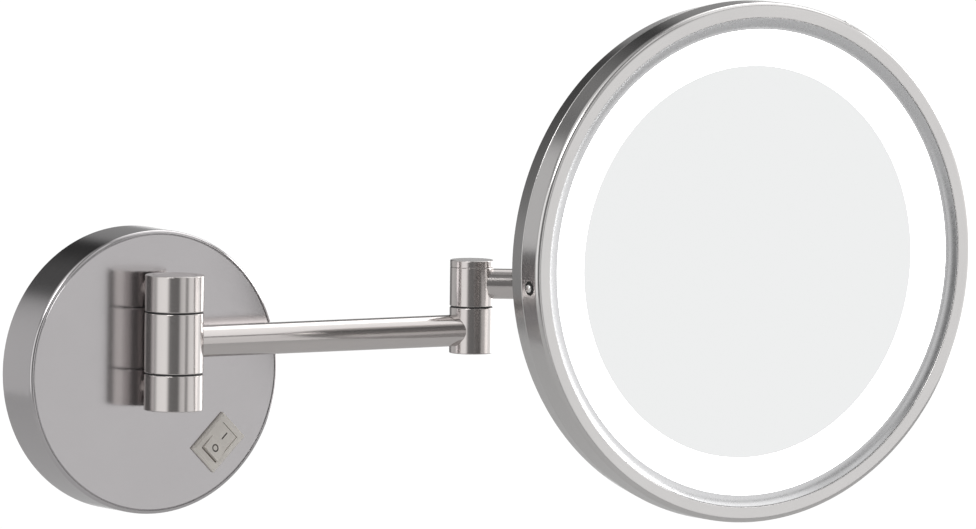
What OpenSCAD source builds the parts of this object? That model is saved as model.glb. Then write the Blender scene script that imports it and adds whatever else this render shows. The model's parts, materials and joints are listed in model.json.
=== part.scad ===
// Extendable shaving mirror: a round wall plate, a two-part swinging arm and a lit round mirror head.
// Origin: centre of the wall plate's back face, on the wall. +X right, -Y into the room, +Z up.

/* [Wall plate] */
// Outer diameter of the wall plate's cover
plate_d = 120; // [110:1:150]
// Depth of the cover, wall to front face
plate_depth = 24; // [22:0.5:36]
// Sheet thickness of the cover
plate_wall = 1.5; // [1:0.1:2]
// Radius of the cover's front edge
plate_edge_r = 1.7; // [1:0.1:3]
// Depth and half width of the fine line turned at the edge of the face
plate_line = 0.3; // [0.2:0.05:0.5]
// Thickness of the steel wall bracket
bracket_t = 2; // [1.5:0.5:3]
// Width of the steel wall bracket
bracket_w = 34; // [30:1:40]
// Spacing of the two wall screws
wall_screw_pitch = 60; // [50:1:70]
// Diameter of the wall screw holes
wall_screw_d = 5; // [4:0.5:6]
// Bore of the cable inlet
inlet_d = 10; // [8:0.5:12]

/* [Wall knuckle] */
// Diameter of the three knuckle barrels
knuckle_d = 25; // [23:0.5:32]
// Height of the whole knuckle
knuckle_h = 57; // [52:1:70]
// Distance between the knuckle's two seams
knuckle_seams = 26; // [22:0.5:32]
// Height of the knuckle's middle above the plate's centre
knuckle_z = 14; // [0:1:16]
// Gap between the cover's face and the barrels
knuckle_gap = 3.5; // [2:0.5:8]
// Diameter of the knuckle's spindle
spindle_d = 8; // [6:0.5:8]
// Diameter of the two posts that hold the barrels
post_d = 9; // [8:0.5:10]

/* [Arm] */
// Length of the arm between its two axes
arm_len = 145; // [110:1:220]
// Outer diameter of the arm's tube
arm_tube_d = 13.4; // [11:0.1:14]
// Wall of both tubes
tube_wall = 1.2; // [0.8:0.1:1.8]
// Diameter of the elbow's barrels
elbow_d = 18.4; // [17.5:0.1:24]
// Height of the elbow's lower barrel
elbow_lower_h = 19.5; // [18:0.5:26]
// Height of the elbow's upper barrel with its cap
elbow_upper_h = 20; // [19:0.5:26]
// Height of the elbow's cap
elbow_cap_h = 3; // [2:0.1:3]
// Diameter of the elbow and swivel pins
pin_d = 6; // [5:0.5:6]

/* [Reach arm] */
// Length of the reach arm between its two axes
reach_len = 92; // [80:1:150]
// Outer diameter of the reach arm's tube
reach_tube_d = 12.8; // [11:0.1:13.4]
// Stored angle of the reach arm, outwards from the wall plane
reach_angle = 33; // [20:1:45]
// Height of the barrel at the reach arm's end
reach_end_h = 16; // [15:0.5:20]

/* [Head joint] */
// Height of the swivel's barrel
swivel_h = 11.3; // [10:0.1:16]
// Distance from the swivel axis forward to the tilt axis
tilt_reach = 16; // [15.5:0.5:24]
// Distance from the tilt axis forward to the back cover
tilt_standoff = 11.5; // [10:0.5:20]
// Radius of the eye and the ears around the tilt pin
eye_r = 6; // [5:0.5:6]
// Width of the eye
eye_w = 8; // [6:0.5:12]
// Thickness of each ear of the tilt bracket
ear_t = 2.5; // [2:0.5:4]
// Diameter of the tilt pin
tilt_pin_d = 5; // [4:0.5:5]

/* [Mirror head] */
// Outer diameter of the head
head_d = 220; // [190:1:270]
// Depth of the head, front rim to back cover
head_depth = 22.5; // [21:0.5:30]
// Stored turn of the head from facing straight out
head_yaw = 2.6; // [-5:0.1:5]
// Depth of the front rim's side wall, to the seam with the back cover
rim_depth = 12; // [11:0.5:15]
// Radius of the rim's front edge
rim_edge_r = 2; // [1.5:0.1:3]
// Sheet thickness of the rim and the back cover
head_wall = 1.5; // [1:0.1:1.6]
// Width of the flat front face of the rim, with its rounded edge
rim_face_w = 6.5; // [6:0.1:10]
// Width of the shallow hollow trim inside the face
trim_w = 5; // [3:0.1:6]
// Width of the lit band
light_w = 15.5; // [10:0.1:20]
// Depth of the lit band's outer edge behind the front rim
band_depth = 2.3; // [2.2:0.1:3]
// Depth of the glass behind the front rim
glass_depth = 5.3; // [4:0.1:6]
// Thickness of the glass and of the light ring
glass_t = 3; // [2:0.5:4]
// Taper of the back cover's shoulder
shoulder = 2; // [1:0.1:4]
// Number of small screws around the rim
rim_screws_n = 3; // [3:1:6]
// Head diameter of the rim screws
rim_screw_d = 6; // [4:0.1:7]
// Number of light emitters
led_n = 48; // [24:6:72]

/* [Rocker switch] */
// Length of the switch's flange
switch_l = 21; // [20:0.5:23]
// Width of the switch's flange
switch_w = 15; // [14.5:0.5:17]
// Distance of the switch from the plate's centre
switch_r = 43.5; // [42:0.5:44]
// Turn of the rocker each way
rocker_throw = 7; // [5:1:9]

/* [Fits] */
// Radial and axial running clearance
run_gap = 0.05; // [0.02:0.01:0.1]
// Radial clearance of fixed seats
seat_gap = 0.02; // [0.01:0.01:0.05]
// Clearance between pieces that only pass each other
free_gap = 0.3; // [0.3:0.1:0.6]
// Thickness of the friction washers
washer_t = 0.6; // [0.4:0.1:1]

/* [Hidden] */
$fn = 96;
fine = 180;

// Metal and plastic colours
nickel = "#B4AEA9";
steel = "#8E8E90";
white = "#F4F4F2";
ivory = "#CFCAC0";

// Wall plate
plate_r = plate_d / 2;
cavity_r = plate_r - plate_wall;
cavity_d = plate_depth - plate_wall;
bracket_h = 2 * (cavity_r - 4.5);
ear_out = 14;
lock_y = 10;
lock_r = 2;
backing_t = 2;
post_nut_h = 5;
post_shank_r = 3;

// Knuckle: three barrels on one vertical spindle
knuckle_r = knuckle_d / 2;
knuckle_y = -(plate_depth + knuckle_gap + knuckle_r);
outer_barrel_h = (knuckle_h - knuckle_seams - washer_t) / 2;
outer_mid = (knuckle_seams + washer_t + outer_barrel_h) / 2;
arm_barrel_h = knuckle_seams - washer_t - 2 * run_gap;
spindle_r = spindle_d / 2;
cap_t = 1.5;
well_r = spindle_r + 2.5;
well_h = 7;
post_end = well_r + 1.5;
bush_t = 2;

// Elbow: the lower barrel belongs to the arm, the upper one to the reach arm
elbow_r = elbow_d / 2;
pin_r = pin_d / 2;
pin_bush_r = pin_r + 1.2;
pin_well_r = pin_r + 2;
nut_r = pin_well_r - free_gap;
nut_h = 3;
pin_head_r = pin_r + 0.9;
pin_head_h = 2;
arm_tube_r = arm_tube_d / 2;
reach_tube_r = reach_tube_d / 2;
tube_stop = pin_r + 1.2;
reach_stop = pin_well_r + 0.5;
elbow_top0 = elbow_lower_h / 2 + washer_t + run_gap;
reach_z = elbow_lower_h / 2 + elbow_upper_h / 2;
elbow_body_h = elbow_lower_h / 2 + elbow_upper_h - elbow_cap_h - elbow_top0;
nut_well = nut_h + 1;
thin_cap = 0.8;

// Head joint, measured from the reach arm's axis
swivel_z0 = reach_end_h / 2 + washer_t + run_gap;
tilt_z = swivel_z0 + swivel_h / 2;
swivel_top = swivel_z0 + swivel_h - thin_cap;
ear_x0 = eye_w / 2 + washer_t + run_gap;
ear_x1 = ear_x0 + ear_t;
tilt_pin_r = tilt_pin_d / 2;
flange_t = 2;
flange_w = 40;
flange_h = 30;

// Head, measured from the front rim backwards
head_r = head_d / 2;
rim_in_r = head_r - head_wall;
face_in_r = head_r - rim_face_w;
light_r1 = face_in_r - trim_w;
mirror_r = light_r1 - light_w;
light_out_r = face_in_r - 1;
glass_back = glass_depth + glass_t;
pad_t = 1;
pan_t = 1;
pan_z0 = glass_back + pad_t;
pan_z1 = glass_back + 8;
board_t = 1.2;
led_h = 1;
led_size = 3;
led_orbit = (mirror_r + light_out_r) / 2;
cover_in = head_depth - head_wall;
skirt_r = rim_in_r - seat_gap;
skirt_t = 1.2;
skirt_z0 = 3;
rim_screw_z = 6;
rim_screw_a = 183.7;
pan_screw_orbit = 60;
pan_screw_r = 1.5;
boss_r = 4;
glass_gap = 0.1;
trim_edge = 0.35;
rivet_r = 1.5;
lead_r = 2.5;

// Switch, measured from its rocker's hinge outwards
switch_a = 45;
rocker_l = 13.8;
rocker_w = 9.2;
rocker_in_l = rocker_l + 1;
rocker_in_w = rocker_w + 0.4;
flange_lip = 2;
hinge_drop = 0.6;
switch_body_l = switch_l - 2;
switch_body_w = switch_w - 2;
switch_body_d = 12;
mark_d = 0.25;
mark_w = 0.6;
mark_r = 1.7;

// Arc as a list of points, for the turned profiles
function arc(cx, cy, r, a0, a1, n = 6) =
    [for (i = [0:n]) let (a = a0 + (a1 - a0) * i / n) [cx + r * cos(a), cy + r * sin(a)]];

// Places: each frame moves its children from its own axis to where the piece is stored
module from_wall() { rotate([90, 0, 0]) children(); }
module knuckle_frame() { translate([0, knuckle_y, knuckle_z]) children(); }
module elbow_frame() { knuckle_frame() translate([arm_len, 0, 0]) children(); }
module reach_frame() { elbow_frame() rotate([0, 0, -reach_angle]) translate([0, 0, reach_z]) children(); }
module swivel_frame() {
    reach_frame() translate([reach_len, 0, 0]) rotate([0, 0, reach_angle + head_yaw]) children();
}
module tilt_frame() { swivel_frame() translate([0, -tilt_reach, tilt_z]) children(); }
// Head frame: z runs from the front rim's plane backwards, x to the right, y down
module head_frame() {
    tilt_frame() translate([0, -(tilt_standoff + head_depth), 0]) rotate([-90, 0, 0]) children();
}
module switch_frame() {
    translate([switch_r * cos(switch_a), -plate_depth, -switch_r * sin(switch_a)]) rotate([0, -switch_a, 0])
        rotate([90, 0, 0]) children();
}

module ring(r1, r2, h, f = $fn) {
    difference() {
        cylinder(r = r1, h = h, $fn = f);
        translate([0, 0, -1]) cylinder(r = r2, h = h + 2, $fn = f);
    }
}
module post_at(s) { knuckle_frame() translate([0, 0, s * outer_mid]) rotate([-90, 0, 0]) children(); }

// ---- Wall plate ----

// Steel strap on the wall, with a bent ear for the lock screw and a hook at the top
module wall_bracket() {
    color(steel) difference() {
        union() {
            from_wall() translate([-bracket_w / 2, -bracket_h / 2, 0]) cube([bracket_w, bracket_h, bracket_t]);
            from_wall() translate([-9, -bracket_h / 2, 0]) cube([18, bracket_t, ear_out]);
            from_wall() translate([-9, bracket_h / 2 - bracket_t, 0]) cube([18, bracket_t, ear_out / 2]);
        }
        from_wall() for (s = [-1, 1]) translate([0, s * wall_screw_pitch / 2, -1])
            cylinder(d = wall_screw_d, h = bracket_t + 2);
        from_wall() translate([0, 0, -1]) cylinder(r = inlet_d / 2 + 2, h = bracket_t + 2);
        translate([0, -lock_y, -bracket_h / 2 - 1]) cylinder(r = lock_r, h = bracket_t + 2);
    }
}

// Round turned cover with a rounded front edge and a fine line around its face
module wall_cover() {
    r = plate_r;
    d = plate_depth;
    line_r = r - plate_edge_r;
    color(nickel) difference() {
        from_wall() rotate_extrude($fn = fine) polygon(concat(
            [[0, cavity_d], [cavity_r, cavity_d], [cavity_r, 0], [r, 0]],
            arc(r - plate_edge_r, d - plate_edge_r, plate_edge_r, 0, 90),
            [[line_r - plate_line / 2, d - plate_line], [line_r - plate_line, d], [0, d]]));
        for (s = [-1, 1]) post_at(s) translate([0, 0, knuckle_r])
            cylinder(r = post_shank_r + seat_gap, h = knuckle_gap + plate_depth);
        translate([0, -lock_y, -plate_r - 1]) cylinder(r = lock_r + free_gap, h = plate_wall + 2);
        switch_frame() translate([-switch_body_l / 2 - seat_gap, -switch_body_w / 2 - seat_gap, -plate_wall - 1])
            cube([switch_body_l + 2 * seat_gap, switch_body_w + 2 * seat_gap, plate_wall + 2]);
    }
}

// Grub screw in the bracket's lower ear, its end in the cover's hole, turned from below
module cover_lock_screw() {
    color(steel) translate([0, -lock_y, -plate_r + 0.3]) difference() {
        cylinder(r = lock_r - seat_gap, h = plate_r - bracket_h / 2 + 3);
        translate([0, 0, -1]) cylinder(r = 1, h = 2.5, $fn = 6);
    }
}

// Rubber bush in the bracket's cable hole
module inlet_grommet() {
    color("#3A3A3A") from_wall() difference() {
        union() {
            cylinder(r = inlet_d / 2 + 2 - seat_gap, h = bracket_t + 1);
            translate([0, 0, bracket_t]) cylinder(r = inlet_d / 2 + 4, h = 2);
        }
        translate([0, 0, -1]) cylinder(r = inlet_d / 2, h = bracket_t + 4);
    }
}

// Steel plate that stiffens the cover behind the posts
module backing_plate() {
    h = 2 * outer_mid + 16;
    color(steel) difference() {
        translate([-12, -cavity_d, knuckle_z - h / 2]) cube([24, backing_t, h]);
        for (s = [-1, 1]) post_at(s) translate([0, 0, knuckle_r])
            cylinder(r = post_shank_r + seat_gap, h = knuckle_gap + plate_depth);
    }
}

// Post from a barrel to the cover, with a thinner shank through the cover
module post() {
    color(nickel) {
        translate([0, 0, post_end]) cylinder(d = post_d - 2 * seat_gap, h = knuckle_r + knuckle_gap - post_end);
        translate([0, 0, knuckle_r + knuckle_gap])
            cylinder(r = post_shank_r, h = plate_wall + backing_t + post_nut_h + 1);
    }
}
module post_upper() { post_at(1) post(); }
module post_lower() { post_at(-1) post(); }

// Two hexagon nuts on the posts' shanks
module post_nuts() {
    color(steel) for (s = [-1, 1]) post_at(s)
        translate([0, 0, knuckle_r + knuckle_gap + plate_wall + backing_t]) difference() {
            cylinder(r = 5.77, h = post_nut_h, $fn = 6);
            translate([0, 0, -1]) cylinder(r = post_shank_r + seat_gap, h = post_nut_h + 2);
        }
}

// ---- Wall knuckle ----

// Outer barrel, its open end up: a well for the spindle's end and a seat for the cap
module outer_barrel() {
    color(nickel) difference() {
        cylinder(r = knuckle_r, h = outer_barrel_h);
        translate([0, 0, -1]) cylinder(r = spindle_r + seat_gap, h = outer_barrel_h + 2);
        translate([0, 0, outer_barrel_h - well_h]) cylinder(r = well_r, h = well_h + 1);
        translate([0, 0, outer_barrel_h - cap_t]) cylinder(r = well_r + 2.5, h = cap_t + 1);
        translate([0, 0, outer_barrel_h / 2]) rotate([-90, 0, 0]) translate([0, 0, post_end])
            cylinder(d = post_d, h = knuckle_r);
    }
}
module knuckle_half(s) {
    knuckle_frame() mirror([0, 0, s < 0 ? 1 : 0]) translate([0, 0, (knuckle_seams + washer_t) / 2]) children();
}
module knuckle_upper() { knuckle_half(1) outer_barrel(); }
module knuckle_lower() { knuckle_half(-1) outer_barrel(); }

// Spindle with a round head in the lower barrel and a thread in the upper one
module knuckle_spindle() {
    reach = knuckle_h / 2 - well_h;
    color(steel) knuckle_frame() {
        translate([0, 0, -reach]) cylinder(r = spindle_r, h = 2 * reach + well_h - cap_t - 0.5);
        translate([0, 0, -reach - 3]) cylinder(r = well_r - 0.3, h = 3);
    }
}
module knuckle_nut() {
    color(steel) knuckle_frame() translate([0, 0, knuckle_h / 2 - well_h]) difference() {
        cylinder(r = well_r - 0.2, h = 4, $fn = 6);
        translate([0, 0, -1]) cylinder(r = spindle_r + seat_gap, h = 6);
    }
}
module knuckle_cap() {
    color(nickel) translate([0, 0, outer_barrel_h - cap_t]) cylinder(r = well_r + 2.5 - seat_gap, h = cap_t);
}
module knuckle_cap_top() { knuckle_half(1) knuckle_cap(); }
module knuckle_cap_bottom() { knuckle_half(-1) knuckle_cap(); }

// Two nylon washers at the seams, slightly smaller than the barrels
module knuckle_washers() {
    color("#2B2B2E") knuckle_frame() for (s = [-1, 1])
        translate([0, 0, s * knuckle_seams / 2 - washer_t / 2])
            ring(knuckle_r - 0.4, spindle_r + seat_gap, washer_t);
}

// ---- Rocker switch ----

// Flange and body, with a pocket and two bearing holes for the rocker
module switch_body() {
    color(ivory) switch_frame() difference() {
        union() {
            hull() {
                translate([-switch_l / 2, -switch_w / 2, 0]) cube([switch_l, switch_w, flange_lip - 0.8]);
                translate([-switch_l / 2 + 0.8, -switch_w / 2 + 0.8, 0])
                    cube([switch_l - 1.6, switch_w - 1.6, flange_lip]);
            }
            translate([-switch_body_l / 2, -switch_body_w / 2, -switch_body_d])
                cube([switch_body_l, switch_body_w, switch_body_d]);
        }
        translate([-rocker_in_l / 2, -rocker_in_w / 2, -hinge_drop - 3.4])
            cube([rocker_in_l, rocker_in_w, 10]);
        translate([0, 0, -hinge_drop]) rotate([90, 0, 0])
            cylinder(r = 1.2 + run_gap, h = rocker_in_w + 1.8, center = true);
    }
}

// Rocker with a shallow V top, stored with its I end pressed
module rocker_place() {
    switch_frame() translate([0, 0, -hinge_drop]) rotate([0, rocker_throw, 0]) children();
}
module rocker_shape() {
    half = rocker_l / 2;
    rise = half * tan(rocker_throw);
    rotate([90, 0, 0]) {
        linear_extrude(rocker_w, center = true) polygon([[-4.5, -2.5], [4.5, -2.5], [half, 0.5],
            [half, 2.2 + rise], [0, 2.2], [-half, 2.2 + rise], [-half, 0.5]]);
        cylinder(r = 1.2, h = rocker_w + 2, center = true);
    }
}
// One bar and one ring let into the rocker's two slopes
module marks_shape(h) {
    translate([0, 0, 2.2]) {
        rotate([0, -rocker_throw, 0]) translate([1.7, -mark_w / 2, -mark_d]) cube([3.6, mark_w, h]);
        rotate([0, rocker_throw, 0]) translate([-3.5, 0, -mark_d]) ring(mark_r, mark_r - mark_w, h);
    }
}
module switch_rocker() {
    color(ivory) rocker_place() difference() {
        rocker_shape();
        marks_shape(2 * mark_d);
    }
}
module switch_marks() { color("#5A5550") rocker_place() marks_shape(mark_d); }

// Two tabs at the back of the switch
module switch_terminals() {
    color("#C8A24A") switch_frame() for (s = [-1, 1])
        translate([s * 5 - 0.4, -2.4, -switch_body_d - 5]) cube([0.8, 4.8, 5]);
}

// Closed driver box and terminal strip, fixed behind the cover's face
module led_driver() {
    color(white) translate([-45, -cavity_d, -22]) cube([26, 13, 34]);
}
module terminal_block() {
    color("#3A3A3A") translate([22, -cavity_d, 2]) difference() {
        cube([22, 10, 16]);
        for (z = [3, 8, 13]) translate([-1, 5, z]) rotate([0, 90, 0]) cylinder(r = 1.6, h = 24);
    }
}

// ---- Arm ----

// Middle barrel of the knuckle, with a radial seat for the tube
module arm_barrel() {
    color(nickel) knuckle_frame() difference() {
        translate([0, 0, -arm_barrel_h / 2]) cylinder(r = knuckle_r, h = arm_barrel_h);
        translate([0, 0, -knuckle_h]) cylinder(r = spindle_r + bush_t, h = 2 * knuckle_h);
        translate([spindle_r + bush_t + 1, 0, 0]) rotate([0, 90, 0]) cylinder(r = arm_tube_r, h = knuckle_r);
    }
}
module arm_bushing() {
    color("#B08D4F") knuckle_frame() translate([0, 0, -arm_barrel_h / 2])
        ring(spindle_r + bush_t - seat_gap, spindle_r + run_gap, arm_barrel_h);
}
module arm_tube() {
    x0 = spindle_r + bush_t + 1;
    color(nickel) knuckle_frame() translate([x0, 0, 0]) rotate([0, 90, 0])
        ring(arm_tube_r - seat_gap, arm_tube_r - tube_wall, arm_len - tube_stop - x0);
}

// ---- Elbow ----

// Lower barrel: pin hole, flush seat for the pin's head and a radial seat for the arm's tube
module elbow_lower() {
    color(nickel) elbow_frame() difference() {
        translate([0, 0, -elbow_lower_h / 2]) cylinder(r = elbow_r, h = elbow_lower_h);
        translate([0, 0, -elbow_lower_h]) cylinder(r = pin_r + seat_gap, h = 2 * elbow_lower_h);
        translate([0, 0, -elbow_lower_h / 2 - 1]) cylinder(r = pin_head_r + seat_gap, h = pin_head_h + 2);
        translate([0, 0, -elbow_lower_h / 2 - 1]) cylinder(r = pin_well_r, h = 2);
        rotate([0, -90, 0]) translate([0, 0, tube_stop]) cylinder(r = arm_tube_r, h = elbow_r);
    }
}
// Pin with a flat head and a round lock nut at the far end of its length
module pin(length) {
    cylinder(r = pin_head_r, h = pin_head_h);
    cylinder(r = pin_r, h = length);
}
module round_nut() { ring(nut_r, pin_r + seat_gap, nut_h); }
elbow_nut_z = elbow_top0 + elbow_body_h - (nut_well + nut_h) / 2;
module elbow_spindle() {
    z0 = -elbow_lower_h / 2 + 1;
    color(steel) elbow_frame() translate([0, 0, z0]) pin(elbow_nut_z + nut_h - z0);
}
module elbow_nut() { color(steel) elbow_frame() translate([0, 0, elbow_nut_z]) round_nut(); }
module elbow_cap_bottom() {
    color(nickel) elbow_frame() translate([0, 0, -elbow_lower_h / 2]) cylinder(r = pin_well_r - seat_gap, h = 1);
}
module elbow_washer() {
    color("#2B2B2E") elbow_frame() translate([0, 0, elbow_lower_h / 2])
        ring(elbow_r - 0.4, pin_r + seat_gap, washer_t);
}

// Barrel with a bush at one end and a well for the nut at the other; z = 0 is the bush end
module nut_barrel(h, well) {
    difference() {
        cylinder(r = elbow_r, h = h);
        translate([0, 0, -1]) cylinder(r = pin_bush_r, h = h + 2);
        translate([0, 0, h - well]) cylinder(r = pin_well_r, h = well + 1);
        children();
    }
}
// Bush as long as the barrel's floor
module bush(h) { ring(pin_bush_r - seat_gap, pin_r + run_gap, h); }
module elbow_upper_frame() { elbow_frame() rotate([0, 0, -reach_angle]) translate([0, 0, elbow_top0]) children(); }
module elbow_upper() {
    color(nickel) elbow_upper_frame() nut_barrel(elbow_body_h, nut_well)
        translate([reach_stop, 0, reach_z - elbow_top0]) rotate([0, 90, 0]) cylinder(r = reach_tube_r, h = elbow_r);
}
module elbow_bushing() { color("#B08D4F") elbow_upper_frame() bush(elbow_body_h - nut_well); }
module elbow_cap_top() {
    color(nickel) elbow_upper_frame() translate([0, 0, elbow_body_h]) cylinder(r = elbow_r, h = elbow_cap_h);
}

// ---- Reach arm ----

module reach_tube() {
    color(nickel) reach_frame() translate([reach_stop, 0, 0]) rotate([0, 90, 0])
        ring(reach_tube_r - seat_gap, reach_tube_r - tube_wall, reach_len - 2 * reach_stop);
}
// Barrel at the end of the reach arm, its nut well facing down
module reach_end_frame() { reach_frame() translate([reach_len, 0, reach_end_h / 2]) mirror([0, 0, 1]) children(); }
module reach_end() {
    color(nickel) reach_end_frame() nut_barrel(reach_end_h, nut_well + thin_cap) {
        translate([0, 0, reach_end_h - thin_cap]) cylinder(r = pin_well_r + 1, h = 2);
        translate([0, 0, reach_end_h / 2]) rotate([0, -90, 0]) translate([0, 0, reach_stop])
            cylinder(r = reach_tube_r, h = elbow_r);
    }
}
module reach_end_bushing() { color("#B08D4F") reach_end_frame() bush(reach_end_h - nut_well - thin_cap); }
module reach_end_cap() {
    color(nickel) reach_end_frame() translate([0, 0, reach_end_h - thin_cap])
        cylinder(r = pin_well_r + 1 - seat_gap, h = thin_cap);
}
module swivel_washer() {
    color("#2B2B2E") reach_frame() translate([reach_len, 0, reach_end_h / 2])
        ring(elbow_r - 0.4, pin_r + free_gap, washer_t);
}

// ---- Head joint ----

// Swivel barrel with an eye held forward for the tilt pin
module swivel_knuckle() {
    color(nickel) swivel_frame() difference() {
        union() {
            translate([0, 0, swivel_z0]) cylinder(r = elbow_r, h = swivel_h);
            translate([-eye_w / 2, -tilt_reach, tilt_z - eye_r + 0.4]) cube([eye_w, tilt_reach, 2 * eye_r - 0.8]);
            translate([0, -tilt_reach, tilt_z]) rotate([0, 90, 0]) cylinder(r = eye_r, h = eye_w, center = true);
        }
        cylinder(r = pin_r + seat_gap, h = 2 * tilt_z);
        translate([0, 0, swivel_top - pin_head_h]) cylinder(r = pin_well_r, h = 2 * pin_head_h);
        translate([0, -tilt_reach, tilt_z]) rotate([0, 90, 0])
            cylinder(r = tilt_pin_r + run_gap, h = 2 * eye_w, center = true);
    }
}
swivel_nut_z = -reach_end_h / 2 + thin_cap + (nut_well - nut_h) / 2;
module swivel_pin() {
    color(steel) swivel_frame() translate([0, 0, swivel_top]) mirror([0, 0, 1]) pin(swivel_top - swivel_nut_z);
}
module swivel_nut() { color(steel) swivel_frame() translate([0, 0, swivel_nut_z]) round_nut(); }
module swivel_cap() {
    color(nickel) swivel_frame() translate([0, 0, swivel_top]) cylinder(r = pin_well_r - seat_gap, h = thin_cap);
}

// Flange on the back cover with two ears around the eye
module tilt_bracket() {
    y0 = -tilt_standoff;
    color(nickel) difference() {
        tilt_frame() union() {
            translate([0, y0 + flange_t, 0]) rotate([90, 0, 0]) linear_extrude(flange_t)
                offset(r = 5) square([flange_w - 10, flange_h - 10], center = true);
            for (s = [-1, 1]) translate([s * (ear_x0 + ear_t / 2), 0, 0]) rotate([0, 90, 0])
                linear_extrude(ear_t, center = true) {
                    circle(r = eye_r);
                    polygon([[-eye_r, 0], [eye_r, 0], [eye_r + 2, y0 + flange_t / 2], [-eye_r - 2, y0 + flange_t / 2]]);
                }
        }
        tilt_frame() rotate([0, 90, 0]) cylinder(r = tilt_pin_r + seat_gap, h = 4 * eye_w, center = true);
        head_frame() rivet_places() cylinder(r = rivet_r + seat_gap, h = 3 * flange_t, center = true);
    }
}
module bracket_rivets() {
    color(steel) head_frame() rivet_places() {
        translate([0, 0, -head_wall - 1]) cylinder(r = rivet_r + 1.1, h = 1);
        translate([0, 0, -head_wall - 1]) cylinder(r = rivet_r, h = head_wall + flange_t + 1.5);
        translate([0, 0, flange_t]) cylinder(r = rivet_r + 1.1, h = 1.2);
    }
}
module tilt_washers() {
    color("#2B2B2E") tilt_frame() for (s = [-1, 1])
        translate([s * (ear_x0 - washer_t / 2), 0, 0]) rotate([0, 90, 0]) translate([0, 0, -washer_t / 2])
            ring(eye_r - 0.4, tilt_pin_r + seat_gap, washer_t);
}
module tilt_pin() {
    color(steel) tilt_frame() rotate([0, 90, 0]) {
        translate([0, 0, -ear_x1]) cylinder(r = tilt_pin_r, h = 2 * ear_x1 + 4.5);
        translate([0, 0, -ear_x1 - 2.5]) cylinder(r = tilt_pin_r + 2, h = 2.5);
    }
}
module tilt_nut() {
    color(steel) tilt_frame() rotate([0, 90, 0]) translate([0, 0, ear_x1]) difference() {
        cylinder(r = tilt_pin_r + 2.1, h = 4, $fn = 6);
        translate([0, 0, -1]) cylinder(r = tilt_pin_r + seat_gap, h = 6);
    }
}

// ---- Mirror head ----

// Front rim: rounded edge, flat face and side wall as one turned shell
module head_rim() {
    r = head_r;
    e = rim_edge_r;
    color(nickel) head_frame() difference() {
        rotate_extrude($fn = fine) polygon(concat(
            [[face_in_r, head_wall], [face_in_r, 0.3], [face_in_r + 0.3, 0]],
            arc(r - e, e, e, -90, 0),
            [[r, rim_depth - 0.3], [r - 0.3, rim_depth], [rim_in_r, rim_depth], [rim_in_r, head_wall]]));
        rim_screw_places() cylinder(r = 1.3, h = 3 * head_wall, center = true);
    }
}
// Places around the rim: z points outwards from the side wall
module rim_screw_places() {
    for (i = [0:rim_screws_n - 1]) rotate([0, 0, -rim_screw_a + i * 360 / rim_screws_n])
        translate([head_r, 0, rim_screw_z]) rotate([0, 90, 0]) children();
}
module rim_screws() {
    color(steel) head_frame() rim_screw_places() {
        translate([0, 0, 0.05]) cylinder(d1 = rim_screw_d, d2 = rim_screw_d - 2, h = 1.2);
        translate([0, 0, -head_wall - skirt_t - 0.5]) cylinder(r = 1.2, h = head_wall + skirt_t + 1);
    }
}

// Back cover: inner skirt in the rim, a tapered shoulder and a flat back
module back_cover() {
    r = head_r;
    d = head_depth;
    color(nickel) head_frame() difference() {
        rotate_extrude($fn = fine) polygon(concat(
            [[0, d], [0, cover_in], [skirt_r - skirt_t, cover_in], [skirt_r - skirt_t, skirt_z0],
                [skirt_r, skirt_z0], [skirt_r, rim_depth + 0.05], [r - 0.3, rim_depth + 0.05],
                [r, rim_depth + 0.35]],
            arc(r - shoulder - 1, d - 1, 1, 10, 90, 4)));
        rim_screw_places() cylinder(r = 1.22, h = 3 * (head_wall + skirt_t), center = true);
        pan_screw_places() cylinder(r = pan_screw_r + seat_gap, h = 6, center = true);
        rivet_places() cylinder(r = rivet_r + seat_gap, h = 6, center = true);
        lead_place() cylinder(r = lead_r + 1.5, h = 6, center = true);
    }
}
// Places on the back cover's outer face: rivets, screws and the lead's bush; z points backwards
module rivet_places() {
    for (x = [-1, 1], y = [-1, 1])
        translate([x * (flange_w / 2 - 5), y * (flange_h / 2 - 5), head_depth]) children();
}
module pan_screw_places() {
    for (a = [45:90:315]) rotate([0, 0, a]) translate([pan_screw_orbit, 0, head_depth]) children();
}
module lead_place() { translate([0, flange_h / 2 + 10, head_depth]) children(); }

module pan_screws() {
    color(steel) head_frame() pan_screw_places() {
        cylinder(r1 = 3, r2 = 2.2, h = 1.4);
        translate([0, 0, -head_wall - 3]) cylinder(r = pan_screw_r, h = head_wall + 3);
    }
}
// Rubber bush where the low-voltage lead enters the head
module head_grommet() {
    color("#3A3A3A") head_frame() lead_place() difference() {
        union() {
            translate([0, 0, -head_wall]) cylinder(r = lead_r + 1.5 - seat_gap, h = head_wall);
            cylinder(r = lead_r + 3, h = 1.5);
        }
        translate([0, 0, -head_wall - 1]) cylinder(r = lead_r, h = head_wall + 4);
    }
}

// Shallow hollow trim between the rim's face and the lit band, held behind the rim's flange
module inner_trim() {
    r1 = face_in_r - glass_gap;
    fall = band_depth - 2 * trim_edge;
    color(nickel) head_frame() rotate_extrude($fn = fine) polygon(concat(
        [[light_r1, band_depth], [r1 + 2, band_depth], [r1 + 2, head_wall], [r1, head_wall]],
        [for (t = [0:0.125:1]) [r1 - t * (r1 - light_r1), trim_edge + fall * t * (2 - t)]]));
}

// Round mirror glass, and the opal ring around it
module mirror_glass() {
    color("#D8DCDD") head_frame() translate([0, 0, glass_depth])
        cylinder(r = mirror_r - glass_gap, h = glass_t, $fn = fine);
}
module light_ring() {
    color("#FFFFFF") head_frame() rotate_extrude($fn = fine) polygon([[light_out_r, band_depth],
        [light_r1, band_depth], [mirror_r, glass_depth], [mirror_r, glass_back], [light_out_r, glass_back]]);
}
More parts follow.
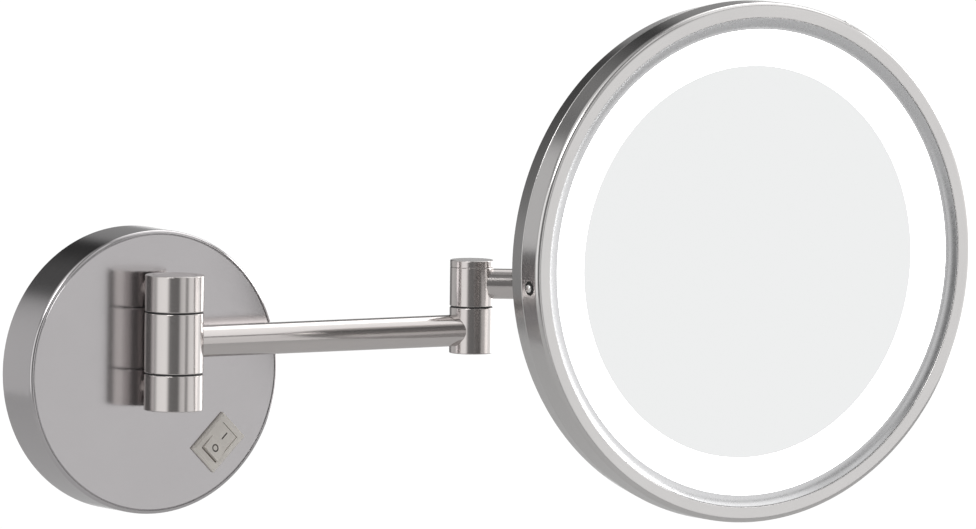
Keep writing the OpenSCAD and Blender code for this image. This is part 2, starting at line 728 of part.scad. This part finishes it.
// Foam pad that bonds the glass to the pan
module mirror_pad() {
    color("#2B2B2E") head_frame() translate([0, 0, glass_back]) cylinder(r = mirror_r - 4, h = pad_t);
}

// White pan: a raised middle behind the glass and a channel for the lights
module light_pan() {
    r0 = mirror_r - 1;
    r1 = light_out_r;
    color(white) head_frame() difference() {
        union() {
            rotate_extrude($fn = fine) polygon([[0, pan_z0], [r0, pan_z0], [r0, pan_z1 - pan_t],
                [r1 - pan_t, pan_z1 - pan_t], [r1 - pan_t, glass_back], [r1, glass_back], [r1, pan_z1],
                [r0 - pan_t, pan_z1], [r0 - pan_t, pan_z0 + pan_t], [0, pan_z0 + pan_t]]);
            pan_screw_places() translate([0, 0, pan_z0 + pan_t / 2 - head_depth])
                cylinder(r = boss_r, h = cover_in - pan_z0 - pan_t / 2);
        }
        pan_screw_places() translate([0, 0, -head_wall - 3]) cylinder(r = pan_screw_r + seat_gap, h = 6);
    }
}
module led_board() {
    color("#F0F0EA") head_frame() translate([0, 0, pan_z1 - pan_t - board_t])
        ring(light_out_r - pan_t - free_gap, mirror_r - 1 + free_gap, board_t, fine);
}
module leds() {
    color("#FFF2B0") head_frame() for (i = [0:led_n - 1]) rotate([0, 0, i * 360 / led_n])
        translate([led_orbit - led_size / 2, -led_size / 2, pan_z1 - pan_t - board_t - led_h])
            cube([led_size, led_size, led_h]);
}

wall_bracket();
wall_cover();
cover_lock_screw();
inlet_grommet();
backing_plate();
post_upper();
post_lower();
post_nuts();
knuckle_upper();
knuckle_lower();
knuckle_spindle();
knuckle_nut();
knuckle_cap_top();
knuckle_cap_bottom();
knuckle_washers();
switch_body();
switch_rocker();
switch_marks();
switch_terminals();
led_driver();
terminal_block();
arm_barrel();
arm_bushing();
arm_tube();
elbow_lower();
elbow_spindle();
elbow_nut();
elbow_cap_bottom();
elbow_washer();
elbow_upper();
elbow_bushing();
elbow_cap_top();
reach_tube();
reach_end();
reach_end_bushing();
reach_end_cap();
swivel_washer();
swivel_knuckle();
swivel_pin();
swivel_nut();
swivel_cap();
tilt_bracket();
tilt_washers();
tilt_pin();
tilt_nut();
bracket_rivets();
head_rim();
back_cover();
rim_screws();
inner_trim();
mirror_glass();
light_ring();
mirror_pad();
light_pan();
led_board();
leds();
pan_screws();
head_grommet();
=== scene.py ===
# %% [markdown]
# A lit shaving mirror on a swinging arm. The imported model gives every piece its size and
# place, and this lesson gives each one its finish: turned metal is rebuilt as smooth
# surfaces of revolution with small rounded edges, because light shows a metal edge as a
# thin bright line, and a perfectly sharp edge never has one.

# %% Load the frame
import json
import math
import bmesh
import bpy
import numpy as np
from mathutils import Matrix, Vector


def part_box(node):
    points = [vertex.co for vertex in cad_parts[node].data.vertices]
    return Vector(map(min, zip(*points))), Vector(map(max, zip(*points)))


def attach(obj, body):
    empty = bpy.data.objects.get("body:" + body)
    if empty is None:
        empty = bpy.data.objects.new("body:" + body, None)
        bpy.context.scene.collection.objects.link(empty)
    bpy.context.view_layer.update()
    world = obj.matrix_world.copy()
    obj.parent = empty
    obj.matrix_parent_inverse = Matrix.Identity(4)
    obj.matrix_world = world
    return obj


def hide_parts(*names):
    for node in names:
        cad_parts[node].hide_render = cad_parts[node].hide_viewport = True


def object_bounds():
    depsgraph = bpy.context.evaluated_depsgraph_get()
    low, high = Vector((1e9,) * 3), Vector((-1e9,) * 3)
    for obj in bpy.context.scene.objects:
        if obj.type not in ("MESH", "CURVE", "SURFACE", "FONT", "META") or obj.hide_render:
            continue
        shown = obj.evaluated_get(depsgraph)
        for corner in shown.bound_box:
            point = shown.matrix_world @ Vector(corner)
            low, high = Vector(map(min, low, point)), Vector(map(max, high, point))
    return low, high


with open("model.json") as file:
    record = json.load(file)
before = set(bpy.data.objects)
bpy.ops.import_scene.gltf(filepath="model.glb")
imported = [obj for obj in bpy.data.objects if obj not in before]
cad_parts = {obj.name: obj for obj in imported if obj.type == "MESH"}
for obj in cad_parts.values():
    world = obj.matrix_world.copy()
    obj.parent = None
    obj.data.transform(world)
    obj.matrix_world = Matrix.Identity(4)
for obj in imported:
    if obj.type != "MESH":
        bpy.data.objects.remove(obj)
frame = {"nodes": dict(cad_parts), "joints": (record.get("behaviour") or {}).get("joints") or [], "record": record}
cad_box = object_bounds()
nodes = frame["nodes"]
joints = {j["name"]: j for j in frame["joints"]}
print("nodes", len(nodes), "box", cad_box)

# %% [markdown]
# The camera stands to the left of the mirror and a little above it, far away behind a very
# long lens. A long lens keeps parallel lines parallel, as in a product picture. The place
# that it looks at is worked out from the wall plate's centre, in metres to the right and up
# as the camera sees them, and VIEW_WIDTH is how many metres it sees across at that place.

# %% Camera
MM = 0.001
AZIMUTH = math.radians(-30.7)
ELEVATION = math.radians(5.16)
ROLL = math.radians(0.71)
DISTANCE = 10.5
VIEW_WIDTH = 0.4115
AIM_RIGHT = 0.1525
AIM_UP = 0.0433
SENSOR_MM = 12.0
FAR_CLIP = 100.0

back = Vector((math.sin(AZIMUTH) * math.cos(ELEVATION),
               -math.cos(AZIMUTH) * math.cos(ELEVATION), math.sin(ELEVATION)))
level = Vector((math.cos(AZIMUTH), math.sin(AZIMUTH), 0.0))
upright = back.cross(level)
right = level * math.cos(ROLL) + upright * math.sin(ROLL)
up = upright * math.cos(ROLL) - level * math.sin(ROLL)
camera = bpy.data.objects.new("camera", bpy.data.cameras.new("camera"))
camera.data.sensor_width = SENSOR_MM
camera.data.lens = SENSOR_MM * DISTANCE / VIEW_WIDTH
camera.data.clip_end = FAR_CLIP
aim = right * AIM_RIGHT + up * AIM_UP
camera.matrix_world = Matrix.Translation(aim + back * DISTANCE) @ Matrix(
    (right, up, back)).transposed().to_4x4()
bpy.context.scene.collection.objects.link(camera)
bpy.context.scene.camera = camera
print("lens", round(camera.data.lens), "mm")

# %% [markdown]
# Colours are written as the sRGB hex values that a paint chart gives. Shaders work in
# linear light, so one function turns hex into linear. One more adds a node, sets its
# sockets and links its inputs, and every material below is built with it.

# %% Colour and node helpers
def linear(text):
    """The sRGB curve undone: c/12.92 below 0.04045, else ((c+0.055)/1.055) to the power 2.4."""
    values = [int(text[i:i + 2], 16) / 255 for i in (1, 3, 5)]
    return [v / 12.92 if v <= 0.04045 else ((v + 0.055) / 1.055) ** 2.4 for v in values] + [1.0]


def add(tree, kind, settings=None, **inputs):
    """Adds a node; settings are its properties, inputs its sockets: a value or a socket to link.

    A socket is given by its name, or as i0, i1 and so on by its number."""
    made = tree.nodes.new(kind)
    for name, value in (settings or {}).items():
        setattr(made, name, value)
    for name, value in inputs.items():
        numbered = name[0] == "i" and name[1:].isdigit()
        socket = made.inputs[int(name[1:]) if numbered else name.replace("_", " ")]
        if isinstance(value, bpy.types.NodeSocket):
            tree.links.new(value, socket)
        else:
            socket.default_value = value
    return made


def material(name, **shader):
    """A material with one Principled shader; returns the material, its tree and the shader."""
    made = bpy.data.materials.new(name)
    made.use_nodes = True
    tree = made.node_tree
    surface = tree.nodes["Principled BSDF"]
    for key, value in shader.items():
        surface.inputs[key.replace("_", " ")].default_value = value
    return made, tree, surface

# %% [markdown]
# Noise in a shader mostly lies between 0.3 and 0.7. One function spreads it over the range
# that a roughness should cover, and another turns it into small bumps. Every finish uses
# both, because no real surface is perfectly even.

# %% Uneven surfaces
NOISE_LOW, NOISE_HIGH = 0.3, 0.7


def uneven(tree, surface, noise, roughness, share, strength, height):
    """Roughness within `share` of its mean, and bumps `height` metres high at full strength."""
    rough = add(tree, "ShaderNodeMapRange", Value=noise.outputs[0], From_Min=NOISE_LOW,
                From_Max=NOISE_HIGH, To_Min=roughness * (1 - share),
                To_Max=min(1.0, roughness * (1 + share)))
    tree.links.new(rough.outputs[0], surface.inputs["Roughness"])
    bump = add(tree, "ShaderNodeBump", Strength=strength, Distance=height,
               Height=noise.outputs[0])
    tree.links.new(bump.outputs[0], surface.inputs["Normal"])

# %% [markdown]
# Satin nickel is nickel plate over metal that was brushed on a belt. The brush leaves fine
# parallel scratches, so the surface reflects sharply across them and softly along them. It
# could be a picture of scratches, but noise that is stretched far along the brushing gives
# the same look at any size. Turned pieces carry a UV map in millimetres, with u around the
# axis, so that the scratches run round them. Real scratches are about 0.05 mm apart, too
# fine to show here, so they are drawn at 0.3 mm.

# %% Satin nickel
CLOUDS_PER_M = 22.0


def brushed(name, colour, roughness, along, across=0.3, strength=0.12, coords="UV"):
    """Nickel with scratches `along` mm long and `across` mm apart.

    They follow u of a UV map in mm, or x in object coordinates, which are in metres."""
    base = linear(colour)
    made, tree, surface = material(name, Metallic=1.0, Roughness=roughness, Base_Color=base)
    place = add(tree, "ShaderNodeTexCoord")
    unit, third = (1.0, along) if coords == "UV" else (1.0 / MM, across)
    stretch = add(tree, "ShaderNodeMapping", Vector=place.outputs[coords],
                  Scale=(unit / along, unit / across, unit / third))
    grain = add(tree, "ShaderNodeTexNoise", Vector=stretch.outputs[0], Scale=1.0, Detail=3.0)
    cloud = add(tree, "ShaderNodeTexNoise", Vector=place.outputs["Object"],
                Scale=CLOUDS_PER_M, Detail=4.0)
    tone = add(tree, "ShaderNodeMix", {"data_type": "RGBA"}, Factor=cloud.outputs[0],
               i6=[c * 0.95 for c in base[:3]] + [1.0],
               i7=[min(1.0, c * 1.05) for c in base[:3]] + [1.0])
    tree.links.new(tone.outputs[2], surface.inputs["Base Color"])
    uneven(tree, surface, grain, roughness, 0.12, strength, 0.00002)
    return made


PLATE_NICKEL = brushed("satin_nickel_plate", "#C3C0C1", 0.17, along=9.0, strength=0.06)
RIM_NICKEL = brushed("satin_nickel_rim", "#D3D1D0", 0.18, along=14.0, strength=0.08)
BARREL_NICKEL = brushed("satin_nickel_barrel", "#CCC7C5", 0.16, along=6.0, strength=0.05)
FLAT_NICKEL = brushed("satin_nickel_flat", "#BDB8B5", 0.28, along=8.0, coords="Object")
print("nickel finishes made")

# %% [markdown]
# The other finishes: zinc-plated steel for screws and nuts, sintered bronze for the bushes,
# black nylon washers, black rubber, semi-gloss ivory ABS for the switch, matt white plastic,
# silvered glass, and opal acrylic that is lit from behind. Each gets a fine grit.

# %% Other finishes
def plain(name, colour, roughness, metallic=0.0, grit_mm=0.4, strength=0.1):
    """A moulded or plated surface with a fine grit of grit_mm in its bump and roughness."""
    made, tree, surface = material(name, Metallic=metallic, Roughness=roughness,
                                   Base_Color=linear(colour))
    place = add(tree, "ShaderNodeTexCoord")
    grit = add(tree, "ShaderNodeTexNoise", Vector=place.outputs["Object"],
               Scale=1.0 / (grit_mm * MM), Detail=2.0)
    uneven(tree, surface, grit, roughness, 0.1, strength, 0.00003)
    return made


ZINC = plain("zinc_plated_steel", "#C9C9CB", 0.25, metallic=1.0)
POLISHED = plain("polished_screw_steel", "#ECEAE8", 0.10, metallic=1.0)
# Near black, used only for the rim screws' countersinks: painted shade, not a finish of the metal.
COUNTERSINK_SHADE = plain("painted_countersink_shade", "#0E0D0D", 0.5)
BRONZE = plain("sintered_bronze", "#B08D4F", 0.5, metallic=1.0)
NYLON = plain("black_nylon", "#1E1E20", 0.55)
RUBBER = plain("black_rubber", "#2A2A2A", 0.75, grit_mm=0.8, strength=0.2)
IVORY = plain("ivory_abs", "#E2DDD6", 0.34, strength=0.05)
MARK = plain("grey_print", "#3E3833", 0.6)
WHITE = plain("white_plastic", "#EFEFEC", 0.5)
TAB = plain("tab_brass", "#C8A24A", 0.3, metallic=1.0)
TRIM = plain("satin_trim", "#DADADB", 0.28, metallic=1.0, grit_mm=2.0, strength=0.03)
SILVERED = plain("silvered_glass", "#EEEFEF", 0.04, metallic=1.0, grit_mm=30.0, strength=0.0)
LED = plain("led_phosphor", "#F5E08A", 0.5)


def opal():
    """White acrylic that glows evenly, a touch brighter than paper."""
    made, tree, surface = material("lit_opal_acrylic", Base_Color=linear("#FFFFFF"), Roughness=0.35)
    place = add(tree, "ShaderNodeTexCoord")
    cloud = add(tree, "ShaderNodeTexNoise", Vector=place.outputs["Object"], Scale=40.0)
    glow = add(tree, "ShaderNodeMapRange", Value=cloud.outputs[0], To_Min=2.4, To_Max=2.7)
    surface.inputs["Emission Color"].default_value = linear("#FFFFFF")
    tree.links.new(glow.outputs[0], surface.inputs["Emission Strength"])
    return made


OPAL = opal()

# %% [markdown]
# Turned pieces are surfaces of revolution: a profile of radius and height goes once round an
# axis. A lathe leaves small radii at every edge, so one function rounds the corners of a
# profile, and another turns it into a mesh with a UV map in millimetres.

# %% Rounded profiles
PAST_ARC = 1.12


def rounded(points, radii, steps=5):
    """Each corner with a radius becomes an arc that touches both of its sides, in `steps` pieces.

    The arc starts at distance r / tan(half the corner's angle) from the corner. A point just
    past each end of the arc keeps the flats beside it flat when they are shaded smooth."""
    corners = np.array(points, float)
    out = []
    for i, (corner, radius) in enumerate(zip(corners, radii)):
        if radius <= 0:
            out.append(corner)
            continue
        a, b = corners[i - 1] - corner, corners[(i + 1) % len(corners)] - corner
        a, b = a / np.linalg.norm(a), b / np.linalg.norm(b)
        half = math.acos(np.clip(a @ b, -1, 1)) / 2
        reach = radius / math.tan(half)
        middle = corner + (a + b) / np.linalg.norm(a + b) * radius / math.sin(half)
        start, end = corner + a * reach - middle, corner + b * reach - middle
        turn = math.atan2(start[0] * end[1] - start[1] * end[0], start @ end)
        angle = np.linspace(0, turn, steps + 1)[:, None]
        arc = middle + np.cos(angle) * start + np.sin(angle) * np.array([-start[1], start[0]])
        out += [corner + a * reach * PAST_ARC, *arc, corner + b * reach * PAST_ARC]
    return np.array(out)


# %% A surface of revolution
SAME_POINT = 1e-7


def turned(name, profile, place, finish, body, replaces=(), sides=160, closed=False):
    """The point at radius r, height z and angle t is (r cos t, r sin t, z), moved by `place`.

    The profile is in millimetres. A closed one is a ring; an open one starts and ends on the
    axis, where its ends are merged into poles."""
    rz = np.asarray(profile, float)
    k = len(rz)
    t = np.arange(sides) * 2 * np.pi / sides
    grid = np.stack([rz[:, :1] * np.cos(t), rz[:, :1] * np.sin(t),
                     np.repeat(rz[:, 1:], sides, 1)], -1)
    rows = np.arange(k if closed else k - 1)
    i, j = np.meshgrid(rows, np.arange(sides), indexing="ij")
    i2, j2 = (i + 1) % k, (j + 1) % sides
    faces = np.stack([i * sides + j, i * sides + j2, i2 * sides + j2, i2 * sides + j], -1)
    sides_of = np.diff(np.vstack([rz, rz[:1]]), axis=0)
    length = np.r_[0, np.cumsum(np.linalg.norm(sides_of, axis=1))]
    around = rz[:, 0].max() * t[1]
    uv = np.stack([np.stack([(j + a) * around, length[i + b]], -1) for a, b in
                   ((0, 0), (1, 0), (1, 1), (0, 1))], 2).reshape(-1, 2)
    mesh = bpy.data.meshes.new(name)
    mesh.from_pydata((grid.reshape(-1, 3) * MM).tolist(), [], faces.reshape(-1, 4).tolist())
    mesh.uv_layers.new(name="mm").data.foreach_set("uv", uv.ravel())
    mesh.polygons.foreach_set("use_smooth", [True] * len(mesh.polygons))
    mesh.transform(place)
    shape = bmesh.new()
    shape.from_mesh(mesh)
    bmesh.ops.remove_doubles(shape, verts=shape.verts, dist=SAME_POINT)
    bmesh.ops.recalc_face_normals(shape, faces=shape.faces)
    shape.to_mesh(mesh)
    shape.free()
    return piece(name, mesh, finish, body, replaces)


def piece(name, mesh, finish, body, replaces=()):
    """Puts a finished mesh into the scene on its body, in place of CAD nodes."""
    made = bpy.data.objects.new(name, mesh)
    bpy.context.scene.collection.objects.link(made)
    mesh.materials.append(finish)
    if replaces:
        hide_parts(*replaces)
    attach(made, body)
    return made


# %% Axes and measures, all read from the frame
def axis_place(origin, direction, side=(0, 0, 1)):
    """A frame whose z runs along `direction` from `origin`."""
    z = Vector(direction).normalized()
    x = Vector(side).cross(z)
    x = x.normalized() if x.length > 1e-6 else Vector((1, 0, 0))
    return Matrix.Translation(Vector(origin)) @ Matrix((x, z.cross(x), z)).transposed().to_4x4()


def local_points(node, place):
    """A node's vertices in a frame, in millimetres."""
    mesh = nodes[node].data
    points = np.empty(len(mesh.vertices) * 3)
    mesh.vertices.foreach_get("co", points)
    inverse = np.array(place.inverted())
    return (points.reshape(-1, 3) @ inverse[:3, :3].T + inverse[:3, 3]) / MM


def measured(node, place):
    """A node's lowest and highest z, and least and greatest radius, in a frame, in millimetres."""
    local = local_points(node, place)
    radius = np.hypot(local[:, 0], local[:, 1])
    return local[:, 2].min(), local[:, 2].max(), radius.min(), radius.max()


arm_at = Vector(joints["arm_swing"]["pos_m"])
elbow_at = Vector(joints["elbow_swing"]["pos_m"])
swivel_at = Vector(joints["head_swivel"]["pos_m"])
tilt_at = Vector(joints["head_tilt"]["pos_m"])
tilt_axis = Vector(joints["head_tilt"]["axis"])
facing = Vector((tilt_axis.y, -tilt_axis.x, 0))
WALL = axis_place((0, 0, 0), (0, -1, 0))
KNUCKLE = axis_place(arm_at, (0, 0, 1))
ELBOW = axis_place(elbow_at, (0, 0, 1))
SWIVEL = axis_place(swivel_at, (0, 0, 1))
HEAD = axis_place(tilt_at, -facing)
head_front = measured("head_rim", HEAD)[0]
HEAD = HEAD @ Matrix.Translation((0, 0, head_front * MM))
print("head front", round(head_front, 2), "mm before the tilt axis")

# %% [markdown]
# The wall plate's cover is one turned shell. Its front edge is rounded, and a fine line is
# cut just inside the edge of the face, which is brushed flat.

# %% Wall cover
_, depth, _, plate_r = measured("wall_cover", WALL)
sheet, line = 1.5, plate_r - 1.7
line_out, line_in, line_cut = 0.25, 0.3, 0.45
inside = plate_r - sheet
cover = rounded(
    [(0, depth - sheet), (inside, depth - sheet), (inside, 0), (plate_r, 0), (plate_r, depth),
     (line + line_out, depth), (line, depth - line_cut), (line - line_in, depth), (0, depth)],
    [0, 0.8, 0.2, 0.3, 1.4, 0, 0, 0.1, 0])
turned("wall_cover_turned", cover, WALL, PLATE_NICKEL, "wall_unit", ["wall_cover"], sides=256)
print("cover", round(plate_r, 1), "mm radius,", round(depth, 1), "mm deep")

# %% [markdown]
# Barrels, caps and tubes are short turned lengths. Each is measured from its CAD node, and
# its two ends get a small radius, as a lathe hand leaves with a file.

# %% Barrels, tubes and caps
GROOVE_W, GROOVE_CUT = 0.15, 0.5
BARREL_SIDES = 128


def barrel(node, place, finish, body, edge=0.35, cap=None):
    """A solid turned length with the node's own radius and ends.

    A cap is a second turned piece, let into the end that it is on, with a groove around it."""
    z0, z1, _, r = measured(node, place)
    profile, radii = [(0, z0), (r, z0), (r, z1), (0, z1)], [0, edge, edge, 0]
    if cap:
        c0, c1, _, c = measured(cap, place)
        out = c + GROOVE_W
        if c0 + c1 > z0 + z1:
            profile[3:] = [(out, z1), (out, z1 - GROOVE_CUT), (0, z1 - GROOVE_CUT)]
            radii = [0, edge, edge, 0.08, 0, 0]
        else:
            profile[:1] = [(0, z0 + GROOVE_CUT), (out, z0 + GROOVE_CUT), (out, z0)]
            radii = [0, 0, 0.08, edge, edge, 0]
        lid = rounded([(0, c0), (c, c0), (c, c1), (0, c1)], [0, 0.15, 0.15, 0])
        turned(cap + "_turned", lid, place, finish, body, [cap], sides=BARREL_SIDES)
    turned(node + "_turned", rounded(profile, radii), place, finish, body, [node],
           sides=BARREL_SIDES)


barrel("knuckle_upper", KNUCKLE, BARREL_NICKEL, "wall_unit", cap="knuckle_cap_top")
barrel("knuckle_lower", KNUCKLE, BARREL_NICKEL, "wall_unit", cap="knuckle_cap_bottom")
barrel("arm_barrel", KNUCKLE, BARREL_NICKEL, "arm")
barrel("elbow_lower", ELBOW, BARREL_NICKEL, "arm", cap="elbow_cap_bottom")
barrel("elbow_upper", ELBOW, BARREL_NICKEL, "reach", edge=0.15)
barrel("elbow_cap_top", ELBOW, BARREL_NICKEL, "reach", edge=0.3)
barrel("reach_end", SWIVEL, BARREL_NICKEL, "reach", cap="reach_end_cap")
ARM = axis_place(arm_at, elbow_at - arm_at)
reach_way = swivel_at - elbow_at
reach_way.z = 0
REACH = axis_place(Vector((elbow_at.x, elbow_at.y, swivel_at.z)), reach_way)
barrel("arm_tube", ARM, BARREL_NICKEL, "arm", edge=0.1)
barrel("reach_tube", REACH, BARREL_NICKEL, "reach", edge=0.1)
for post in ("post_upper", "post_lower"):
    height = sum(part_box(post)[i][2] for i in (0, 1)) / 2
    barrel(post, axis_place((0, arm_at.y, height), (0, 1, 0)), BARREL_NICKEL, "wall_unit", edge=0.3)
print("turned lengths made")

# %% [markdown]
# The head is four rings and a disc: the front rim, the back cover, the hollow trim inside
# the rim, the opal light ring and the round glass.

# %% Head
HEAD_SIDES = 320
shell, seam, spigot, slack = 1.5, 0.05, 1.25, 0.05
_, rim_z, rim_in, head_r = measured("head_rim", HEAD)
wall_in = head_r - shell
rim = rounded([(rim_in, shell), (rim_in, 0), (head_r, 0), (head_r, rim_z), (wall_in, rim_z),
               (wall_in, shell)], [0, 0.3, 2.0, 0.4, 0, 0], steps=8)
turned("head_rim_turned", rim, HEAD, RIM_NICKEL, "head", ["head_rim"],
       sides=HEAD_SIDES, closed=True)
z0, z1, _, cover_r = measured("back_cover", HEAD)
spigot_r = cover_r - shell - slack
cup_r = spigot_r - spigot
shoulder = rounded([(0, z1 - shell), (cup_r, z1 - shell), (cup_r, z0), (spigot_r, z0),
                    (spigot_r, rim_z + seam), (cover_r, rim_z + seam), (cover_r - 2, z1),
                    (0, z1)], [0, 0.5, 0, 0, 0, 0.4, 1.0, 0])
turned("back_cover_turned", shoulder, HEAD, RIM_NICKEL, "head", ["back_cover"],
       sides=HEAD_SIDES)
_, t1, trim_in, _ = measured("inner_trim", HEAD)
trim_r, trim_start, trim_end = rim_in - 0.1, 0.4, t1 - 0.15
# The hollow goes from the rim inwards, at depth start + (end - start) t (2 - t), t from 0 to 1.
t = np.linspace(0, 1, 15)
hollow = np.stack([trim_r - t * (trim_r - trim_in),
                   trim_start + (trim_end - trim_start) * t * (2 - t)], -1)
turned("inner_trim_turned", np.vstack([[(trim_r, t1)], hollow, [(trim_in, t1)]]), HEAD, TRIM,
       "head", ["inner_trim"], sides=HEAD_SIDES, closed=True)
_, g1, light_in, light_out = measured("light_ring", HEAD)
g0 = measured("mirror_glass", HEAD)[0]
band_in, glass_r = light_in + 0.02, light_in - 0.02
band = [(band_in, g0), (trim_in, t1), (light_out, t1), (light_out, g1), (band_in, g1)]
turned("light_ring_turned", band, HEAD, OPAL, "head", ["light_ring"],
       sides=HEAD_SIDES, closed=True)
glass = rounded([(0, g0), (glass_r, g0), (glass_r, g1), (0, g1)], [0, 0.12, 0, 0])
turned("mirror_glass_turned", glass, HEAD, SILVERED, "head", ["mirror_glass"],
       sides=HEAD_SIDES)
print("head", round(head_r, 1), "mm radius, light band", round(trim_in - light_in, 1), "mm")

# %% [markdown]
# Each small screw in the rim's side is a bright dome in a countersink. The countersink is coloured
# near black: painted shade, where the recess round the head would fall dark. Their places are
# the middles of the CAD screws' heads.

# %% Rim screws
SCREWS, SCREW_SIDES = 3, 48
DOME_R, DOME_TOP, DOME_EDGE = 1.8, 1.2, 1.0
heads = local_points("rim_screws", HEAD)
heads = heads[np.hypot(heads[:, 0], heads[:, 1]) > head_r]
front, rear = heads[:, 2].min(), heads[:, 2].max()
# The mean of exp(i SCREWS angle) has SCREWS times the first screw's angle as its own angle.
angles = np.arctan2(heads[:, 1], heads[:, 0])
first = np.angle(np.exp(1j * SCREWS * angles).mean()) / SCREWS
wide = (rear - front) / 2
sink_shade_profile = [(0, 0.02), (wide, 0.02), (wide - 0.2, 0.3), (wide - 0.8, 0.1), (0, 0.1)]
dome = rounded([(0, 0.08), (DOME_R, 0.08), (DOME_R, DOME_TOP), (0, DOME_TOP)],
               [0, 0, DOME_EDGE, 0])
for i in range(SCREWS):
    angle = first + i * 2 * math.pi / SCREWS
    way = Vector((math.cos(angle), math.sin(angle), 0))
    middle = way * head_r + Vector((0, 0, (front + rear) / 2))
    spot = HEAD @ axis_place(middle * MM, way)
    # The countersink ring is near black as painted shade round the dome.
    turned(f"rim_screw_shade_ring_{i}", sink_shade_profile, spot, COUNTERSINK_SHADE, "head", ["rim_screws"], sides=SCREW_SIDES)
    turned(f"rim_screw_dome_{i}", dome, spot, POLISHED, "head", ["rim_screws"],
           sides=SCREW_SIDES)
print(SCREWS, "screws of", round(2 * wide, 1), "mm")

# %% [markdown]
# Every other CAD node keeps its shape and gets the finish of its record slot.

# %% Finishes for the carried nodes
BY_SLOT = {"satin_nickel": FLAT_NICKEL, "steel": ZINC, "bronze": BRONZE, "nylon": NYLON,
           "rubber": RUBBER, "ivory_plastic": IVORY, "mark_paint": MARK,
           "white_plastic": WHITE, "tab_brass": TAB, "trim": TRIM, "mirror": SILVERED,
           "opal": OPAL, "led": LED}
slot_of = {s["node"]: s["material_slot"] for s in frame["record"]["subparts"]}
for node, made in nodes.items():
    made.data.materials.clear()
    made.data.materials.append(BY_SLOT[slot_of[node]])
print("finishes on", len(nodes), "nodes")

# %% [markdown]
# A plain studio: a small pale floor well below the mirror under a soft sky. Metal shows what
# is around it, so the sky is not even. Seen from the mirror it has a dark patch behind the
# camera, which gives round metal its dark streak between two bright ones, a dim column to
# each side, and a dim line above eye level.

# %% Floor
FLOOR_HALF, FLOOR_DROP = 2.5, 0.6
level_z = cad_box[0][2] - FLOOR_DROP
floor_mesh = bpy.data.meshes.new("floor")
floor_mesh.from_pydata([(x * FLOOR_HALF, y * FLOOR_HALF, level_z) for x, y in
                        ((-1, -1), (1, -1), (1, 1), (-1, 1))], [], [(0, 1, 2, 3)])
floor = bpy.data.objects.new("floor", floor_mesh)
bpy.context.scene.collection.objects.link(floor)
floor_mesh.materials.append(plain("pale_floor", "#C4C4C4", 0.9, grit_mm=5.0, strength=0.0))
print("floor", 2 * FLOOR_HALF, "m wide,", FLOOR_DROP, "m below the mirror")

# %% Sky
world = bpy.data.worlds.new("studio")
world.use_nodes = True
bpy.context.scene.world = world
sky = world.node_tree
background = sky.nodes["Background"]
background.inputs["Color"].default_value = linear("#FFFFFF")


def grey_ramp(value, stops):
    """Brightness eased between stops of (position, brightness), which go from low to high."""
    low, high = stops[0][0], stops[-1][0]
    share = add(sky, "ShaderNodeMapRange", Value=value, From_Min=low, From_Max=high)
    ramp = add(sky, "ShaderNodeValToRGB", Fac=share.outputs[0])
    ramp.color_ramp.interpolation = "EASE"
    marks = ramp.color_ramp.elements
    marks[0].position, marks[1].position = 0.0, 1.0
    for at, _ in stops[1:-1]:
        marks.new((at - low) / (high - low))
    for mark, (_, bright) in zip(marks, stops):
        mark.color = (bright, bright, bright, 1)
    return ramp.outputs["Color"]


def toward(way):
    """The cosine between a direction in the sky and `way`."""
    return add(sky, "ShaderNodeVectorMath", {"operation": "DOT_PRODUCT"},
               i0=looking, i1=tuple(way)).outputs["Value"]


def times(one, other):
    """The product of two brightnesses."""
    return add(sky, "ShaderNodeVectorMath", {"operation": "MULTIPLY"},
               i0=one, i1=other).outputs[0]


# The turn is 0 degrees behind the camera and 90 to its right; the rise is the sine of the
# elevation. Far ahead of the camera, where `rear` is 1, the sky above the horizon is dimmed.
looking = add(sky, "ShaderNodeTexCoord").outputs["Generated"]
ahead = toward(Vector((back.x, back.y, 0)).normalized())
turn = add(sky, "ShaderNodeMath", {"operation": "ARCTAN2"}, i0=toward(level), i1=ahead)
degrees = add(sky, "ShaderNodeMath", {"operation": "DEGREES"}, i0=turn.outputs[0]).outputs[0]
rise = add(sky, "ShaderNodeSeparateXYZ", Vector=looking).outputs["Z"]
around = grey_ramp(degrees, [
    (-180, 1.03), (-171, 1.03), (-164, 0.2), (-136, 0.25), (-122, 0.65), (-100, 0.6),
    (-78, 0.5), (-62, 1.1), (-30, 1.15), (-13, 0.2), (16, 0.18), (30, 0.75), (43, 0.85),
    (47, 0.35), (53, 0.35), (61, 0.9), (67, 1.0), (88, 1.05), (122, 1.15), (136, 2.4),
    (164, 2.4), (171, 1.03), (180, 1.03)])
over = grey_ramp(rise, [(-1, 0.8), (-0.2, 1.0), (0.40, 1.0), (0.45, 0.3), (0.50, 0.3),
                        (0.56, 1.2), (0.85, 1.2), (1, 0.6)])
high = grey_ramp(rise, [(-1, 1), (0.02, 1), (0.12, 0.3), (1, 0.3)])
rear = grey_ramp(ahead, [(-1, 1), (-0.85, 1), (-0.6, 0), (1, 0)])
dim = add(sky, "ShaderNodeMix", {"data_type": "RGBA"}, Factor=rear, i6=(1, 1, 1, 1), i7=high)
whole = times(times(around, over), dim.outputs[2])
sky.links.new(whole, background.inputs["Strength"])
print("sky made of", len(sky.nodes), "nodes")

# %% [markdown]
# Two soft square lights from above, one to each side, give the edges their glints.

# %% Lights
def soft_light(name, place, target, size, watts):
    """A square area light at `place`, aimed at `target`."""
    made = bpy.data.objects.new(name, bpy.data.lights.new(name, "AREA"))
    made.data.size, made.data.energy = size, watts
    made.location = place
    made.rotation_euler = (Vector(target) - Vector(place)).to_track_quat("-Z", "Y").to_euler()
    bpy.context.scene.collection.objects.link(made)


centre = (Vector(cad_box[0]) + Vector(cad_box[1])) / 2
soft_light("key", centre + Vector((-1.2, -0.9, 1.1)), centre, 0.7, 7.0)
soft_light("fill", centre + Vector((1.5, -0.2, 0.5)), centre, 0.5, 4.0)
bpy.context.scene.view_settings.view_transform = "Standard"
